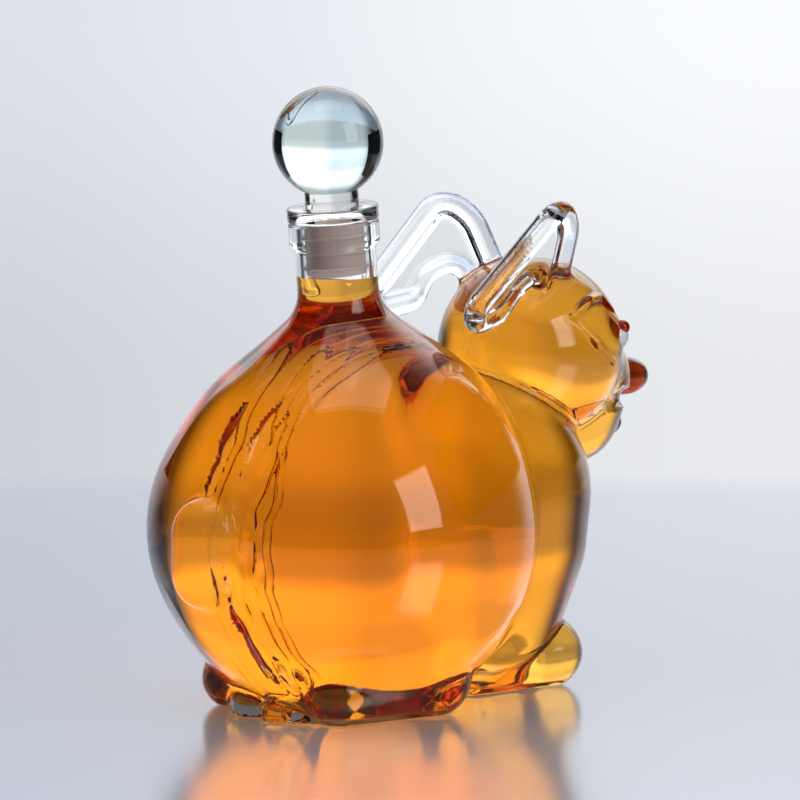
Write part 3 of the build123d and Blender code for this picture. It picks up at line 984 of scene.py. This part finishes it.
def lit_screen(tree, given):
    """A softly lit screen behind the table, brighter to the right, in a dark room.

    The camera sees a pale backdrop on every side, while the glass shows and mirrors the dark room. The screen
    glows above the view, and from the horizon up where it is seen through glass.
    """
    place = node(tree, "ShaderNodeTexCoord")
    turned_back = node(tree, "ShaderNodeVectorRotate", {"rotation_type": "Z_AXIS", "Angle": -given.turn},
                       {"Vector": place.outputs["Generated"]})
    ahead, left, up = node(tree, "ShaderNodeSeparateXYZ", links={"Vector": turned_back.outputs[0]}).outputs
    across = reckoned(tree, "ARCTAN2", left, ahead)
    path = node(tree, "ShaderNodeLightPath")

    def by_turn(edge, low=0.0, high=1.0):
        """A soft edge between two angles across."""
        return ramp(tree, across, *map(math.radians, edge), low, high)

    def by_height(edge, low=0.0, high=1.0):
        """A soft edge between two angles up."""
        return ramp(tree, up, *(math.sin(math.radians(angle)) for angle in edge), low, high)

    lit = reckoned(tree, "MULTIPLY", by_turn(SCREEN_RIGHT), by_turn(SCREEN_LEFT, 1.0, 0.0))
    lit = reckoned(tree, "MULTIPLY", lit, by_height(SCREEN_TOP, 1.0, OVERHEAD_SHARE))
    pale = reckoned(tree, "MAXIMUM", lit, path.outputs["Is Camera Ray"])
    on_left = reckoned(tree, "MULTIPLY", by_turn(SCREEN_MIDDLE), by_turn(SCREEN_ROUND, 1.0, 0.0))
    shade = node(tree, "ShaderNodeMix", {
        "data_type": "RGBA", "A": (*given.screen, 1), "B": (*given.screen_left, 1)}, {"Factor": on_left})
    seen = node(tree, "ShaderNodeMix", {
        "data_type": "RGBA", "A": (*given.room, 1)}, {"Factor": pale, "B": shade.outputs["Result"]})
    dim = reckoned(
        tree, "MULTIPLY", by_height(DIM_TOP, 1.0, DIM_SHARE), by_height(DIM_FOOT, DIM_SHARE, 1.0))
    low_glow = by_height(THROUGH_GLASS, 0.0, THROUGH_GLASS_SHARE)
    through = reckoned(tree, "MULTIPLY", path.outputs["Is Transmission Ray"], low_glow)
    glowing = reckoned(tree, "MAXIMUM", by_height(GLOW_FOOT), through)
    level = reckoned(tree, "MULTIPLY", dim, ramp(tree, glowing, 0.0, 1.0, 1.0, given.glow))
    screen = node(tree, "ShaderNodeBackground", links={"Color": seen.outputs["Result"], "Strength": level})
    fill = node(tree, "ShaderNodeBackground", {"Color": (*given.air, 1), "Strength": given.fill})
    mix = node(tree, "ShaderNodeMixShader", links={"Fac": path.outputs["Is Diffuse Ray"]})
    tree.links.new(screen.outputs[0], mix.inputs[1])
    tree.links.new(fill.outputs[0], mix.inputs[2])
    output = tree.nodes.new("ShaderNodeOutputWorld")
    tree.links.new(mix.outputs[0], output.inputs["Surface"])


class DECANTER_OT_set_stage(bpy.types.Operator):
    """Set the table, the backdrop, the lamps and the camera"""

    bl_idname = "decanter.set_stage"
    bl_label = "Set Stage"

    def execute(self, context):
        scene = context.scene
        given = scene.decanter_stage
        yaw = given.turn + YAW
        table = plate("table", TABLE_SIZE, TABLE_SIZE)
        table.rotation_euler.z = yaw
        table.location = table.rotation_euler.to_matrix() @ Vector((TABLE_BEHIND - TABLE_SIZE / 2, 0, 0))
        table.data.materials.append(lacquered_table(given.table, TABLE_SIZE / 2, TABLE_FADING))

        world = bpy.data.worlds.new("studio")
        scene.world = world
        world.use_nodes = True
        tree = world.node_tree
        tree.nodes.clear()
        lit_screen(tree, given)

        place = Vector((
            -given.distance * math.cos(given.turn), -given.distance * math.sin(given.turn),
            given.distance * math.tan(given.drop)))
        lens = bpy.data.cameras.new("camera")
        lens.lens = given.lens
        lens.sensor_width = SENSOR_WIDTH
        lens.clip_start = NEAREST_SEEN
        camera = linked(bpy.data.objects.new("camera", lens))
        camera.location = place
        look = Vector((math.cos(yaw) * math.cos(PITCH), math.sin(yaw) * math.cos(PITCH), -math.sin(PITCH)))
        camera.rotation_euler = look.to_track_quat("-Z", "Y").to_euler()
        scene.camera = camera

        def on_set(ahead, right, up):
            """A place ahead, right and up of the origin, as the camera looks."""
            cos, sin = math.cos(given.turn), math.sin(given.turn)
            return Vector((ahead * cos + right * sin, ahead * sin - right * cos, up))

        softbox("key_softbox", on_set(*KEY_PLACE), KEY_SIZE, given.key)
        softbox("top_softbox", on_set(*TOP_PLACE), TOP_SIZE, given.top)

        dark = black_felt()
        for name, side, far in FLAGS:
            flag = plate(name, far - FLAG_NEAR, FLAG_TOP - FLAG_FOOT)
            flag.rotation_euler = (math.radians(90), 0, given.turn)
            flag.location = on_set((far + FLAG_NEAR) / 2, side * FLAG_OUT, (FLAG_TOP + FLAG_FOOT) / 2)
            flag.data.materials.append(dark)
            flag.visible_camera = False

        scene.view_settings.view_transform = "Standard"
        scene.cycles.max_bounces = BOUNCES
        scene.cycles.transmission_bounces = BOUNCES
        scene.cycles.transparent_max_bounces = BOUNCES
        scene.cycles.glossy_bounces = GLOSSY_BOUNCES
        return {"FINISHED"}


class DECANTER_PT_panel(bpy.types.Panel):
    """Shows the decanter's settings and the buttons for its steps"""

    bl_idname = "DECANTER_PT_panel"
    bl_label = "Rabbit Decanter"
    bl_space_type = "VIEW_3D"
    bl_region_type = "UI"
    bl_category = "Decanter"

    def draw(self, context):
        column = self.layout.column()
        for settings in (
                context.scene.decanter_glass, context.scene.decanter_stopper, context.scene.decanter_stage):
            for name in settings.__annotations__:
                column.prop(settings, name)
        for operator in OPERATORS:
            column.operator(operator.bl_idname)


SETTINGS = (
    ("decanter_glass", GlassSettings),
    ("decanter_stopper", StopperSettings),
    ("decanter_stage", StageSettings),
)
OPERATORS = (
    DECANTER_OT_blow_bottle,
    DECANTER_OT_pour_liquor,
    DECANTER_OT_set_beads,
    DECANTER_OT_turn_stopper,
    DECANTER_OT_set_stage,
)


def register():
    for name, group in SETTINGS:
        bpy.utils.register_class(group)
        setattr(bpy.types.Scene, name, bpy.props.PointerProperty(type=group))
    for made in (*OPERATORS, DECANTER_PT_panel):
        bpy.utils.register_class(made)


def unregister():
    for made in reversed((*OPERATORS, DECANTER_PT_panel)):
        bpy.utils.unregister_class(made)
    for name, group in reversed(SETTINGS):
        delattr(bpy.types.Scene, name)
        bpy.utils.unregister_class(group)


def main():
    register()
    bpy.ops.decanter.blow_bottle()
    bpy.ops.decanter.pour_liquor()
    bpy.ops.decanter.set_beads()
    bpy.ops.decanter.turn_stopper()
    bpy.ops.decanter.set_stage()


if __name__ == "__main__":
    main()
